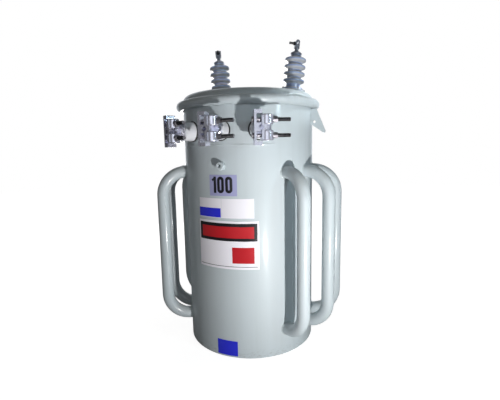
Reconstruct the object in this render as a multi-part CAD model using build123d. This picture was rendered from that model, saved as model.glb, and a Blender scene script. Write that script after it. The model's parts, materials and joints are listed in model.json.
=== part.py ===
from build123d import *
import os
from math import asin, cos, degrees, radians, sin, sqrt

# Pole mounted distribution transformer. Millimetres and degrees, +Z up.
# The origin is on the tank's axis at ground level and the front faces -Y.
# An azimuth of 0 is the front, and it grows towards +X.
# A drop is measured down from the top of the tank's rim.

# Tank
TANK_RADIUS = 280.0
TANK_HEIGHT = 1012.0
TANK_SHEET = 3.0
RIM_REACH = 17.0
RIM_THICKNESS = 3.0
BOTTOM_RECESS = 22.0
BOTTOM_SHEET = 4.0

# Cover, gasket and rolled clamp band
GASKET_THICKNESS = 8.0
GASKET_WIDTH = 15.0
COVER_SHEET = 3.0
COVER_OVERHANG = 2.0
COVER_WALL = 8.0
DOME_RISE = 48.0
KNUCKLE_RADIUS = 31.0
BAND_SHEET = 3.0
BAND_ROLL = 18.0
BAND_CENTRE_REACH = 11.0
BAND_LIP_CLEARANCE = 2.0
BAND_AZIMUTH = -140.0
BAND_GAP = 26.0
BAND_EAR_THICKNESS = 6.0
BAND_EAR_REACH = 26.0
BAND_EAR_HEIGHT = 24.0
BAND_BOLT_RADIUS = 5.0
BAND_BOLT_TAIL = 20.0
BAND_NUT_WIDTH = 17.0
BAND_NUT_THICKNESS = 8.0

# Cooling tubes
TUBE_AZIMUTHS = (53.0, 77.0, 101.0)
TUBE_RADIUS = 25.5
TUBE_SHEET = 2.0
TUBE_REACH = 102.0
TUBE_BEND = 99.0
TUBE_DROP = 267.0
TUBE_FOOT = 108.0
TUBE_INSERT = 5.0

# Lifting lugs
LUG_AZIMUTH = 90.0
LUG_THICKNESS = 9.5
LUG_BAND_CLEARANCE = 3.0
LUG_ROOT_HEIGHT = 61.0
LUG_TOP_REACH = 23.0
LUG_TIP_REACH = 68.0
LUG_TIP_DROP = 47.0
LUG_TIP_RADIUS = 6.0
LUG_HOLE_RADIUS = 6.0
LUG_HOLE_REACH = 15.0
LUG_HOLE_RISE = 9.0

# Pole hanger brackets
HANGER_DROP = 157.0
HANGER_SPACING = 590.0
HANGER_WIDTH = 102.0
HANGER_HEIGHT = 120.0
HANGER_REACH = 95.0
HANGER_SHEET = 6.0
HANGER_BEND = 9.0
HANGER_HOLE_RADIUS = 19.0
HANGER_SLOT_RADIUS = 10.5
HANGER_SLOT_LENGTH = 40.0

# Ground boss
BOSS_DROP = 238.0
BOSS_RADIUS = 15.5
BOSS_REACH = 18.0
BOSS_CHAMFER = 1.5
BOSS_TAP_RADIUS = 6.35
BOSS_TAP_DEPTH = 16.0

# Low voltage bushings on the tank wall
LV_AZIMUTHS = (-30.0, 0.0, 30.0)
LV_DROP = 104.0
LV_GASKET_THICKNESS = 3.0
LV_GASKET_MARGIN = 2.5
LV_DRUM_RADIUS = 38.0
LV_DRUM_LENGTH = 46.0
LV_DRUM_ROUND = 4.0
LV_NOSE_RADIUS = 30.0
LV_NOSE_LENGTH = 3.0
LV_SPIGOT_RADIUS = 22.0
LV_SPIGOT_LENGTH = 20.0

# Bolted cable clamps on the low voltage bushings
CLAMP_HUB_RADIUS = 33.0
CLAMP_HUB_LENGTH = 15.0
CLAMP_HUB_TAPER = 6.0
CLAMP_FACE = 8.0
CLAMP_LOBE_RADIUS = 22.0
CLAMP_LOBE_OFFSET = 13.0
CLAMP_LOBE_HEIGHT = 36.0
CLAMP_LOBE_ROUND = 4.0
CLAMP_WEB = 20.0
CLAMP_SEAT_DEPTH = 3.0
CLAMP_GROOVE_RADIUS = 9.0
CLAMP_CABLE_GAP = 4.0
CLAMP_BOLT_PITCH = 54.0
CLAMP_BOLT_RADIUS = 6.35
CLAMP_BOLT_CLEARANCE = 0.4
CLAMP_BOLT_LENGTH = 130.0
CLAMP_NUT_WIDTH = 20.0
CLAMP_NUT_THICKNESS = 12.0
CLAMP_HEAD_THICKNESS = 6.0
CLAMP_WASHER_RADIUS = 12.0
CLAMP_WASHER_THICKNESS = 2.5
CLAMP_SPRING_RADIUS = 10.5
CLAMP_SPRING_THICKNESS = 3.0
JAW_SHEET = 8.0
JAW_HEIGHT = 120.0
JAW_DEPTH = 36.0
JAW_SADDLE_HEIGHT = 28.0
JAW_SADDLE_REACH = 14.0
JAW_TAB_REACH = 20.0
JAW_TAB_CLEARANCE = 1.5
JAW_ROUND = 3.0

# High voltage bushings on the cover
HV_AZIMUTH = 120.0
HV_CENTRE_REACH = 200.0
HV_SEAT_HEIGHT = 10.0
HV_SEAT_RADIUS = 56.0
HV_GASKET_THICKNESS = 4.0
HV_FOOT_RADIUS = 47.0
HV_FOOT_THICKNESS = 5.0
HV_COLLAR_RADIUS = 43.5
HV_COLLAR_HEIGHT = 15.0
HV_CORE_RADIUS = 31.5
HV_SHED_RADIUS = 46.5
HV_SHED_COUNT = 4
HV_SHED_PITCH = 30.0
HV_FIRST_SHED = 63.0
HV_SHED_ROOT = 24.0
HV_SHED_RIM = 9.0
HV_SHED_DROOP = 1.0
HV_RIM_ROUND = 4.6
HV_NECK_ROUND = 3.0
HV_SHOULDER_RISE = 17.0
HV_HEAD_RISE = 22.0
HV_HEAD_RADIUS = 22.5
HV_SPIGOT_RADIUS = 26.0
HV_SPIGOT_LENGTH = 20.0
HV_RING_THICKNESS = 5.0
HV_RING_WIDTH = 11.0
HV_CAP_RADIUS = 24.0
HV_CAP_HEIGHT = 15.0
HV_CAP_CONE = 8.0
HV_STEM_RADIUS = 8.0
HV_STEM_HEIGHT = 18.0
HV_COLLET_WIDTH = 25.0
HV_COLLET_HEIGHT = 6.0
HV_EYE_WIDTH = 18.0
HV_EYE_DEPTH = 26.0
HV_EYE_HEIGHT = 29.0
HV_EYE_HOLE_RADIUS = 5.5
HV_EYE_TURNS = {-1: -36.0, 1: 0.0}
HV_SCREW_RADIUS = 5.0
HV_SCREW_LENGTH = 26.0
HV_SCREW_NUT_WIDTH = 14.0
HV_SCREW_NUT_THICKNESS = 7.0

HOLE_CLEARANCE = 0.5
CAST_ROUND = 1.5

# Tank, cover and band
cover_seat = TANK_HEIGHT + GASKET_THICKNESS
rim_radius = TANK_RADIUS + RIM_REACH
rim_middle = TANK_HEIGHT + GASKET_THICKNESS / 2
band_radius = TANK_RADIUS + BAND_CENTRE_REACH + BAND_ROLL
dome_radius = TANK_RADIUS + COVER_OVERHANG
knuckle_height = cover_seat + COVER_SHEET + COVER_WALL
knuckle_centre = dome_radius - KNUCKLE_RADIUS
crown_radius = (knuckle_centre**2 + DOME_RISE**2 - KNUCKLE_RADIUS**2) / (
    2 * (DOME_RISE - KNUCKLE_RADIUS)
)
crown_centre = knuckle_height + DOME_RISE - crown_radius
crown_angle = degrees(asin(knuckle_centre / (crown_radius - KNUCKLE_RADIUS)))
lug_top = rim_middle - BAND_ROLL - LUG_BAND_CLEARANCE

# Low voltage clamps: X along the wall, Y up, Z outward from the tank's axis
lv_seat = TANK_RADIUS + LV_GASKET_THICKNESS
hub_seat = lv_seat + LV_DRUM_LENGTH + LV_NOSE_LENGTH
clamp_near = hub_seat + CLAMP_HUB_LENGTH
clamp_middle = clamp_near + CLAMP_LOBE_RADIUS
groove_start = clamp_middle - JAW_DEPTH / 2
groove_end = clamp_middle + JAW_DEPTH / 2
saddle_face = -CLAMP_FACE - CLAMP_CABLE_GAP
groove_x = -CLAMP_FACE - CLAMP_CABLE_GAP / 2
jaw_face = saddle_face - JAW_SADDLE_REACH
jaw_back = jaw_face - JAW_SHEET
nut_seat = CLAMP_LOBE_OFFSET + CLAMP_LOBE_RADIUS - CLAMP_SEAT_DEPTH
body_half = (CLAMP_BOLT_PITCH + CLAMP_LOBE_HEIGHT) / 2
bolt_heights = (-CLAMP_BOLT_PITCH / 2, CLAMP_BOLT_PITCH / 2)

# High voltage bushings, measured along their axis from the crown's skin
hv_foot = HV_SEAT_HEIGHT + HV_GASKET_THICKNESS
hv_step = hv_foot + HV_FOOT_THICKNESS
hv_neck = hv_step + HV_COLLAR_HEIGHT
hv_head = HV_FIRST_SHED + (HV_SHED_COUNT - 1) * HV_SHED_PITCH + HV_HEAD_RISE
hv_cap_top = hv_head + HV_CAP_HEIGHT
hv_eye_foot = hv_cap_top + HV_STEM_HEIGHT
hv_wire_height = hv_eye_foot + HV_EYE_HEIGHT / 2


def outward(azimuth):
    """Unit vector that points away from the tank's axis at an azimuth."""
    return Vector(sin(radians(azimuth)), -cos(radians(azimuth)), 0)


def sideways(azimuth):
    """Unit vector along the tank wall, towards a larger azimuth."""
    return Vector(cos(radians(azimuth)), sin(radians(azimuth)), 0)


def on_wall(azimuth, height):
    """Frame on the tank's axis: X along the wall, Y up, Z outward."""
    return Plane((0, 0, height), x_dir=sideways(azimuth), z_dir=outward(azimuth)).location


def radial_section(azimuth):
    """Upright plane through the axis: X outward, Y up."""
    return Plane((0, 0, 0), x_dir=outward(azimuth), z_dir=-sideways(azimuth))


def turned(*lines):
    """Revolve a closed outline, drawn as (radius, height), about Z."""
    edges = [edge for line in lines for edge in (Plane.XZ * line).edges()]
    return revolve(make_face(edges), Axis.Z)


def rod(radius, start, end, direction="Z"):
    """Round bar along one axis of its frame, from start to end."""
    bar = Pos(0, 0, (start + end) / 2) * Cylinder(radius, end - start)
    turns = {"X": Rot(0, 90, 0), "Y": Rot(-90, 0, 0), "Z": Rot(0, 0, 0)}
    return turns[direction] * bar


def block(x, y, z):
    """Box between two limits on each axis."""
    size = [max(limits) - min(limits) for limits in (x, y, z)]
    middle = [(limits[0] + limits[1]) / 2 for limits in (x, y, z)]
    return Pos(*middle) * Box(*size)


def hexagon(width, start, end):
    """Hexagonal prism along X, measured across its flats."""
    prism = extrude(RegularPolygon(width / sqrt(3), 6), end - start)
    return Rot(0, 90, 0) * (Pos(0, 0, start) * prism)


def fitted_to_wall(piece):
    """Cut the back of a piece to the curve of the tank wall."""
    return piece - Cylinder(TANK_RADIUS, 3 * TANK_HEIGHT)


def tank_shell():
    """Rolled wall, holed where tubes and bushings enter."""
    height = TANK_HEIGHT - RIM_THICKNESS
    wall = rod(TANK_RADIUS, 0, height) - rod(TANK_RADIUS - TANK_SHEET, 0, height)
    for azimuth in LV_AZIMUTHS:
        hole = rod(LV_SPIGOT_RADIUS + HOLE_CLEARANCE, TANK_RADIUS / 2, rim_radius)
        wall -= on_wall(azimuth, TANK_HEIGHT - LV_DROP) * hole
    for azimuth in TUBE_AZIMUTHS:
        for side in (-1, 1):
            for height in (TUBE_FOOT, TANK_HEIGHT - TUBE_DROP):
                hole = rod(TUBE_RADIUS, TANK_RADIUS / 2, rim_radius)
                wall -= on_wall(side * azimuth, height) * hole
    return wall


def tank_rim():
    """Flat ring welded on the wall's top edge."""
    bottom = TANK_HEIGHT - RIM_THICKNESS
    return rod(rim_radius, bottom, TANK_HEIGHT) - rod(TANK_RADIUS - TANK_SHEET, bottom, TANK_HEIGHT)


def tank_bottom():
    """Round plate set up inside the foot of the wall."""
    return rod(TANK_RADIUS - TANK_SHEET, BOTTOM_RECESS, BOTTOM_RECESS + BOTTOM_SHEET)


def cover_gasket():
    ring = rod(rim_radius, TANK_HEIGHT, cover_seat)
    return ring - rod(rim_radius - GASKET_WIDTH, TANK_HEIGHT, cover_seat)


def dome_arcs(inset):
    """Knuckle and crown arcs of the cover, a distance inside its outer skin."""
    knuckle = CenterArc((knuckle_centre, knuckle_height), KNUCKLE_RADIUS - inset, 0, 90 - crown_angle)
    crown = CenterArc((0, crown_centre), crown_radius - inset, 90 - crown_angle, crown_angle)
    return knuckle, crown


def tank_cover():
    """Dished cover with a flat flange and a welded seat for each bushing."""
    inner_radius = dome_radius - COVER_SHEET
    flange_top = cover_seat + COVER_SHEET
    skin, crown = dome_arcs(0)
    lining, inner_crown = dome_arcs(COVER_SHEET)
    top = Line(inner_crown @ 1, crown @ 1)
    flange = Polyline(
        skin @ 0, (dome_radius, flange_top), (rim_radius, flange_top),
        (rim_radius, cover_seat), (inner_radius, cover_seat), lining @ 0,
    )
    cover = turned(skin, crown, top, inner_crown, lining, flange)
    for side in (-1, 1):
        cover += hv_frame(side) * rod(HV_SEAT_RADIUS, -COVER_SHEET / 2, HV_SEAT_HEIGHT)
        hole = rod(HV_SPIGOT_RADIUS + HOLE_CLEARANCE, -2 * BAND_ROLL, BAND_ROLL)
        cover -= hv_frame(side) * hole
    return cover


def cover_band():
    """Rolled C band with turned-in lips, split once, with an ear each side of the split."""
    centre_radius = TANK_RADIUS + BAND_CENTRE_REACH
    lip_radius = dome_radius + BAND_LIP_CLEARANCE
    half_stack = GASKET_THICKNESS / 2 + RIM_THICKNESS
    section = Pos(centre_radius, rim_middle) * (Circle(BAND_ROLL) - Circle(BAND_ROLL - BAND_SHEET))
    reach = 2 * BAND_ROLL
    section &= Pos(lip_radius + reach, rim_middle) * Rectangle(2 * reach, 2 * reach)
    lip_height = BAND_ROLL - BAND_SHEET / 2 - half_stack
    for side in (-1, 1):
        middle = rim_middle + side * (half_stack + lip_height / 2)
        section += Pos(lip_radius + BAND_SHEET / 2, middle) * Rectangle(BAND_SHEET, lip_height)
    gap_angle = degrees(BAND_GAP / centre_radius)
    band = revolve(Plane.XZ * section, Axis.Z, 360 - gap_angle)
    band = Rot(0, 0, BAND_AZIMUTH - 90 + gap_angle / 2) * band
    for side in (-1, 1):
        band += on_wall(BAND_AZIMUTH, rim_middle) * band_ear(side)
    return band


def band_ear(side):
    """Upright plate beside the band's split, holed for the draw bolt."""
    near = side * BAND_GAP / 2
    ear = block(
        (near, near + side * BAND_EAR_THICKNESS),
        (-BAND_EAR_HEIGHT / 2, BAND_EAR_HEIGHT / 2),
        (band_radius - BAND_SHEET, band_radius + BAND_EAR_REACH),
    )
    ear = fillet(ear.edges().filter_by(Axis.X).group_by(Axis.Z)[-1], BAND_EAR_THICKNESS)
    hole = rod(BAND_BOLT_RADIUS + HOLE_CLEARANCE, -BAND_GAP, BAND_GAP, "X")
    return ear - Pos(0, 0, band_radius + BAND_EAR_REACH / 2) * hole


def cover_band_bolt():
    """Draw bolt through both ears, with its head, nut and tail."""
    grip = BAND_GAP / 2 + BAND_EAR_THICKNESS
    bolt = rod(BAND_BOLT_RADIUS, -grip, grip + BAND_BOLT_TAIL, "X")
    bolt += hexagon(BAND_NUT_WIDTH, -grip - BAND_NUT_THICKNESS, -grip)
    bolt += hexagon(BAND_NUT_WIDTH, grip, grip + BAND_NUT_THICKNESS)
    return on_wall(BAND_AZIMUTH, rim_middle) * (Pos(0, 0, band_radius + BAND_EAR_REACH / 2) * bolt)


def cooling_tube(azimuth):
    """Bent tube that leaves the wall, drops beside it and comes back in."""
    inner_end = TANK_RADIUS - TANK_SHEET - TUBE_INSERT
    centre = TANK_RADIUS + TUBE_REACH
    top = TANK_HEIGHT - TUBE_DROP
    path = radial_section(azimuth) * FilletPolyline(
        (inner_end, top), (centre, top), (centre, TUBE_FOOT), (inner_end, TUBE_FOOT),
        radius=TUBE_BEND,
    )
    ring = Circle(TUBE_RADIUS) - Circle(TUBE_RADIUS - TUBE_SHEET)
    return sweep(Plane(path @ 0, z_dir=path % 0) * ring, path)


def lifting_lug(azimuth):
    """Plate on edge whose tip hangs below its root, so a sling stays on it."""
    root = lug_top - LUG_ROOT_HEIGHT
    outline = FilletPolyline(
        (TANK_RADIUS / 2, lug_top),
        (TANK_RADIUS + LUG_TOP_REACH, lug_top),
        (TANK_RADIUS + LUG_TIP_REACH, root - LUG_TIP_DROP),
        (TANK_RADIUS, root),
        (TANK_RADIUS / 2, root),
        radius=(0, LUG_TIP_RADIUS / 2, LUG_TIP_RADIUS, 0, 0), close=True,
    )
    hole = Pos(TANK_RADIUS + LUG_HOLE_REACH, root + LUG_HOLE_RISE) * Circle(LUG_HOLE_RADIUS)
    plate = radial_section(azimuth) * (make_face(outline) - hole)
    return fitted_to_wall(extrude(plate, LUG_THICKNESS / 2, both=True))


def channel_outline(half_width, face, bend):
    """Three sides of a channel with bent corners, closed inside the tank."""
    return make_face(FilletPolyline(
        (-half_width, TANK_RADIUS / 2), (-half_width, face),
        (half_width, face), (half_width, TANK_RADIUS / 2),
        radius=(0, bend, bend, 0), close=True,
    ))


def hanger_bracket(height, keyhole):
    """Bent channel on the back of the tank, slotted for a pole bolt."""
    half = HANGER_WIDTH / 2
    face = TANK_RADIUS + HANGER_REACH
    outer = channel_outline(half, face, HANGER_BEND + HANGER_SHEET)
    inner = channel_outline(half - HANGER_SHEET, face - HANGER_SHEET, HANGER_BEND)
    channel = Rot(90, 0, 0) * extrude(outer - inner, HANGER_HEIGHT / 2, both=True)
    through = (face - 2 * HANGER_SHEET, face + HANGER_SHEET)
    slot_top = HANGER_SLOT_LENGTH / 2
    slot_foot = -slot_top if keyhole else -HANGER_HEIGHT
    channel -= Pos(0, slot_top, 0) * rod(HANGER_SLOT_RADIUS, *through)
    channel -= block((-HANGER_SLOT_RADIUS, HANGER_SLOT_RADIUS), (slot_foot, slot_top), through)
    if keyhole:
        channel -= Pos(0, slot_foot, 0) * rod(HANGER_HOLE_RADIUS, *through)
    return fitted_to_wall(on_wall(180, height) * channel)


def ground_boss():
    """Round boss with a tapped hole, welded to the front of the wall."""
    end = TANK_RADIUS + BOSS_REACH
    boss = rod(BOSS_RADIUS, TANK_RADIUS / 2, end)
    boss = chamfer(boss.edges().group_by(Axis.Z)[-1], BOSS_CHAMFER)
    boss -= rod(BOSS_TAP_RADIUS, end - BOSS_TAP_DEPTH, end + BOSS_REACH)
    return fitted_to_wall(on_wall(0, TANK_HEIGHT - BOSS_DROP) * boss)


def lv_gasket(azimuth):
    """Saddle shaped gasket between the tank wall and a flat drum."""
    ring = rod(LV_DRUM_RADIUS + LV_GASKET_MARGIN, TANK_RADIUS / 2, lv_seat)
    ring -= rod(LV_SPIGOT_RADIUS + HOLE_CLEARANCE, 0, lv_seat)
    return fitted_to_wall(on_wall(azimuth, TANK_HEIGHT - LV_DROP) * ring)


def lv_bushing(azimuth):
    """Porcelain drum with a rounded edge, a short nose and a spigot."""
    drum_end = lv_seat + LV_DRUM_LENGTH
    outline = FilletPolyline(
        (0, lv_seat - LV_SPIGOT_LENGTH), (LV_SPIGOT_RADIUS, lv_seat - LV_SPIGOT_LENGTH),
        (LV_SPIGOT_RADIUS, lv_seat), (LV_DRUM_RADIUS, lv_seat), (LV_DRUM_RADIUS, drum_end),
        (LV_NOSE_RADIUS, drum_end), (LV_NOSE_RADIUS, hub_seat), (0, hub_seat),
        radius=(0, 0, 0, CAST_ROUND, LV_DRUM_ROUND, 0, 0, 0), close=True,
    )
    return on_wall(azimuth, TANK_HEIGHT - LV_DROP) * turned(outline)


def clamp_holes():
    """The two bolt holes, right through both halves of a clamp."""
    bar = rod(CLAMP_BOLT_RADIUS + CLAMP_BOLT_CLEARANCE, jaw_back - 1, nut_seat + 1, "X")
    return [Pos(0, height, clamp_middle) * bar for height in bolt_heights]


def cable_groove():
    """Round groove between the halves, where the cable end lies."""
    return Pos(groove_x, 0, 0) * rod(CLAMP_GROOVE_RADIUS, groove_start, groove_end)


def lv_clamp_body(azimuth):
    """Cast half of a clamp: hub, web and two rounded lobes for the bolts."""
    hub = FilletPolyline(
        (0, hub_seat), (CLAMP_HUB_RADIUS, hub_seat),
        (CLAMP_HUB_RADIUS, clamp_near - CLAMP_HUB_TAPER),
        (CLAMP_HUB_RADIUS - CLAMP_HUB_TAPER, clamp_near), (0, clamp_near),
        radius=(0, CAST_ROUND, CAST_ROUND, 0, 0), close=True,
    )
    body = turned(hub) + block(
        (-CLAMP_FACE, CLAMP_WEB - CLAMP_FACE),
        (-body_half + CLAMP_LOBE_ROUND, body_half - CLAMP_LOBE_ROUND),
        (clamp_near, groove_end),
    )
    body += block(
        (-CLAMP_FACE, CLAMP_LOBE_OFFSET),
        (-CLAMP_HUB_RADIUS / 2, CLAMP_HUB_RADIUS / 2),
        (clamp_near - CLAMP_HUB_TAPER, clamp_middle),
    )
    for height in bolt_heights:
        lobe = Cylinder(CLAMP_LOBE_RADIUS, CLAMP_LOBE_HEIGHT)
        lobe = Rot(90, 0, 0) * fillet(lobe.edges(), CLAMP_LOBE_ROUND)
        lobe -= block((-CLAMP_WEB - CLAMP_LOBE_RADIUS, -CLAMP_FACE - CLAMP_LOBE_OFFSET),
                      (-CLAMP_LOBE_HEIGHT, CLAMP_LOBE_HEIGHT),
                      (-CLAMP_LOBE_RADIUS, CLAMP_LOBE_RADIUS))
        body += Pos(CLAMP_LOBE_OFFSET, height, clamp_middle) * lobe
        spot = rod(CLAMP_WASHER_RADIUS + HOLE_CLEARANCE, nut_seat, 2 * nut_seat, "X")
        body -= Pos(0, height, clamp_middle) * spot
    body -= cable_groove()
    for hole in clamp_holes():
        body -= hole
    return on_wall(azimuth, TANK_HEIGHT - LV_DROP) * body


def lv_clamp_jaw(azimuth):
    """Pressure bar of a clamp: a plate, a middle saddle and a tab at each end."""
    depth = (groove_start, groove_end)
    half = JAW_HEIGHT / 2
    jaw = block((jaw_back, jaw_face), (-half, half), depth)
    jaw += block((jaw_face, saddle_face), (-JAW_SADDLE_HEIGHT / 2, JAW_SADDLE_HEIGHT / 2), depth)
    for side in (-1, 1):
        inner = side * (body_half + JAW_TAB_CLEARANCE)
        jaw += block((jaw_face, jaw_face + JAW_TAB_REACH), (inner, side * half), depth)
    corners = jaw.edges().filter_by(Axis.Z).sort_by(Axis.Y)
    jaw = fillet(corners[:2] + corners[-2:], JAW_ROUND)
    jaw -= cable_groove()
    for hole in clamp_holes():
        jaw -= hole
    return on_wall(azimuth, TANK_HEIGHT - LV_DROP) * jaw


def lv_clamp_bolts(azimuth):
    """Two bolts with heads on the jaw, and two washers and a nut on each lobe."""
    washer_end = nut_seat + CLAMP_WASHER_THICKNESS
    spring_end = washer_end + CLAMP_SPRING_THICKNESS
    bolt = rod(CLAMP_BOLT_RADIUS, jaw_back, jaw_back + CLAMP_BOLT_LENGTH, "X")
    bolt += hexagon(CLAMP_NUT_WIDTH, jaw_back - CLAMP_HEAD_THICKNESS, jaw_back)
    bolt += rod(CLAMP_WASHER_RADIUS, nut_seat, washer_end, "X")
    bolt += rod(CLAMP_SPRING_RADIUS, washer_end, spring_end, "X")
    bolt += hexagon(CLAMP_NUT_WIDTH, spring_end, spring_end + CLAMP_NUT_THICKNESS)
    pair = [Pos(0, height, clamp_middle) * bolt for height in bolt_heights]
    return on_wall(azimuth, TANK_HEIGHT - LV_DROP) * Compound(children=pair)


def hv_frame(side):
    """Frame on the crown where a bushing stands: Y outward, Z square to the crown."""
    lean = degrees(asin(HV_CENTRE_REACH / crown_radius))
    up = Vector(0, 0, cos(radians(lean))) + outward(side * HV_AZIMUTH) * sin(radians(lean))
    foot = Vector(0, 0, crown_centre) + up * crown_radius
    return Plane(foot, x_dir=-sideways(side * HV_AZIMUTH), z_dir=up).location


def hv_gasket(side):
    ring = rod(HV_FOOT_RADIUS, HV_SEAT_HEIGHT, hv_foot)
    return hv_frame(side) * (ring - rod(HV_SPIGOT_RADIUS + HOLE_CLEARANCE, HV_SEAT_HEIGHT, hv_foot))


def hv_bushing(side):
    """Porcelain bushing: foot, collar, neck, a stack of sheds and a head."""
    points = [
        (0, hv_foot - HV_SPIGOT_LENGTH), (HV_SPIGOT_RADIUS, hv_foot - HV_SPIGOT_LENGTH),
        (HV_SPIGOT_RADIUS, hv_foot), (HV_FOOT_RADIUS, hv_foot), (HV_FOOT_RADIUS, hv_step),
        (HV_COLLAR_RADIUS, hv_step), (HV_COLLAR_RADIUS, hv_neck), (HV_CORE_RADIUS, hv_neck),
    ]
    radii = [0, 0, 0, 0, 0, 0, HV_RIM_ROUND, HV_NECK_ROUND]
    for number in range(HV_SHED_COUNT):
        height = HV_FIRST_SHED + number * HV_SHED_PITCH
        points += [
            (HV_CORE_RADIUS, height - HV_SHED_ROOT / 2),
            (HV_SHED_RADIUS, height - HV_SHED_RIM / 2 - HV_SHED_DROOP),
            (HV_SHED_RADIUS, height + HV_SHED_RIM / 2 - HV_SHED_DROOP),
            (HV_CORE_RADIUS, height + HV_SHED_ROOT / 2),
        ]
        radii += [HV_NECK_ROUND, HV_RIM_ROUND, HV_RIM_ROUND, HV_NECK_ROUND]
    shoulder = height + HV_SHOULDER_RISE
    points[-1] = (HV_HEAD_RADIUS, shoulder)
    points += [(HV_HEAD_RADIUS, hv_head), (0, hv_head)]
    radii += [0, 0]
    return hv_frame(side) * turned(FilletPolyline(points, radius=radii, close=True))


def hv_clamp_ring(side):
    """Flat ring that holds the porcelain foot down on its gasket."""
    inner = HV_COLLAR_RADIUS + HOLE_CLEARANCE
    ring = rod(inner + HV_RING_WIDTH, hv_step, hv_step + HV_RING_THICKNESS)
    return hv_frame(side) * (ring - rod(inner, hv_step, hv_step + HV_RING_THICKNESS))


def hv_cap(side):
    """Metal cap with a coned top, on the porcelain head."""
    outline = FilletPolyline(
        (0, hv_head), (HV_CAP_RADIUS, hv_head), (HV_CAP_RADIUS, hv_cap_top - HV_CAP_CONE),
        (HV_COLLET_WIDTH / 2, hv_cap_top), (0, hv_cap_top),
        radius=(0, 0, CAST_ROUND, 0, 0), close=True,
    )
    return hv_frame(side) * turned(outline)


def hv_eye_frame(side):
    """Frame of a terminal, turned on its bushing: X along the wire hole, -Y to the side screw."""
    return hv_frame(side) * Rot(0, 0, HV_EYE_TURNS[side])


def hv_terminal(side):
    """Stem, collet and eye that takes the line wire, square to the side screw."""
    width = HV_EYE_WIDTH / 2
    depth = HV_EYE_DEPTH / 2
    eye_top = hv_eye_foot + HV_EYE_HEIGHT
    eye = block((-depth, depth), (-width, width), (hv_eye_foot, eye_top - width))
    eye += Pos(0, 0, eye_top - width) * rod(width, -depth, depth, "X")
    eye += rod(HV_STEM_RADIUS, hv_cap_top, hv_eye_foot)
    collet = extrude(RegularPolygon(HV_COLLET_WIDTH / 2, 6), HV_COLLET_HEIGHT)
    eye += Pos(0, 0, hv_eye_foot - HV_COLLET_HEIGHT) * collet
    eye -= Pos(0, 0, hv_wire_height) * rod(HV_EYE_HOLE_RADIUS, -HV_EYE_DEPTH, HV_EYE_DEPTH, "X")
    return hv_eye_frame(side) * eye


def hv_screw(side):
    """Side screw of the eye, with a lock nut against the eye."""
    start = HV_EYE_WIDTH / 2
    screw = rod(HV_SCREW_RADIUS, start, start + HV_SCREW_LENGTH, "X")
    screw += hexagon(HV_SCREW_NUT_WIDTH, start, start + HV_SCREW_NUT_THICKNESS)
    return hv_eye_frame(side) * (Pos(0, 0, hv_wire_height) * (Rot(0, 0, -90) * screw))


pieces = {
    "tank_shell": tank_shell(),
    "tank_rim": tank_rim(),
    "tank_bottom": tank_bottom(),
    "tank_cover": tank_cover(),
    "cover_gasket": cover_gasket(),
    "cover_band": cover_band(),
    "cover_band_bolt": cover_band_bolt(),
    "hanger_bracket_upper": hanger_bracket(TANK_HEIGHT - HANGER_DROP, keyhole=True),
    "hanger_bracket_lower": hanger_bracket(TANK_HEIGHT - HANGER_DROP - HANGER_SPACING, keyhole=False),
    "ground_boss": ground_boss(),
}
for name, side in (("left", -1), ("right", 1)):
    pieces[f"lifting_lug_{name}"] = lifting_lug(side * LUG_AZIMUTH)
    for number, azimuth in enumerate(TUBE_AZIMUTHS, 1):
        pieces[f"cooling_tube_{name}_{number}"] = cooling_tube(side * azimuth)
    pieces[f"hv_gasket_{name}"] = hv_gasket(side)
    pieces[f"hv_bushing_{name}"] = hv_bushing(side)
    pieces[f"hv_clamp_ring_{name}"] = hv_clamp_ring(side)
    pieces[f"hv_cap_{name}"] = hv_cap(side)
    pieces[f"hv_terminal_{name}"] = hv_terminal(side)
    pieces[f"hv_screw_{name}"] = hv_screw(side)
for number, azimuth in enumerate(LV_AZIMUTHS, 1):
    pieces[f"lv_gasket_{number}"] = lv_gasket(azimuth)
    pieces[f"lv_bushing_{number}"] = lv_bushing(azimuth)
    pieces[f"lv_clamp_body_{number}"] = lv_clamp_body(azimuth)
    pieces[f"lv_clamp_jaw_{number}"] = lv_clamp_jaw(azimuth)
    pieces[f"lv_clamp_bolts_{number}"] = lv_clamp_bolts(azimuth)

os.makedirs("parts", exist_ok=True)
for name, shape in pieces.items():
    export_step(shape, f"parts/{name}.step")
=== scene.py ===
import bpy
import json
from math import cos, pi, radians, sin
from mathutils import Matrix, Vector


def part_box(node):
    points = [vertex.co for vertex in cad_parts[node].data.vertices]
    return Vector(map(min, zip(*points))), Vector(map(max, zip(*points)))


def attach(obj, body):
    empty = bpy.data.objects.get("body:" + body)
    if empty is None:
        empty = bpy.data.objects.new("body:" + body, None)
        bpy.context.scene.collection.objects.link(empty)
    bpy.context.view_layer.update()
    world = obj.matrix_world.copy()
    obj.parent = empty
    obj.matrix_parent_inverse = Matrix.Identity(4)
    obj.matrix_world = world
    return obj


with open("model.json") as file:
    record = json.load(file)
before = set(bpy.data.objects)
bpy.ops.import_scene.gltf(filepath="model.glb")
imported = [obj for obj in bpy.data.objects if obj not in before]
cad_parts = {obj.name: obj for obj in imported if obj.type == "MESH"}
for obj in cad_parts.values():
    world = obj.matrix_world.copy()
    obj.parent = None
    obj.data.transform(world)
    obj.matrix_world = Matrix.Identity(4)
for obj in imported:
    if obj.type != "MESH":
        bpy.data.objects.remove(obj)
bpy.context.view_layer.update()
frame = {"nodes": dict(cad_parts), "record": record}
nodes = frame["nodes"]
mounts = {mount["name"]: mount for mount in frame["record"]["mounts"]}

# Named lengths are in metres and named angles in degrees, apart from the lens and its sensor. An
# azimuth is 0 at the front of the tank, 90 at the right of someone who faces it and -90 at their left.
UP = Vector((0, 0, 1))
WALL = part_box("tank_shell")[1].x
RIM_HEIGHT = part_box("tank_shell")[1].z


def outward(azimuth):
    """Level direction away from the tank's axis."""
    return Vector((sin(radians(azimuth)), -cos(radians(azimuth)), 0))


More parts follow.
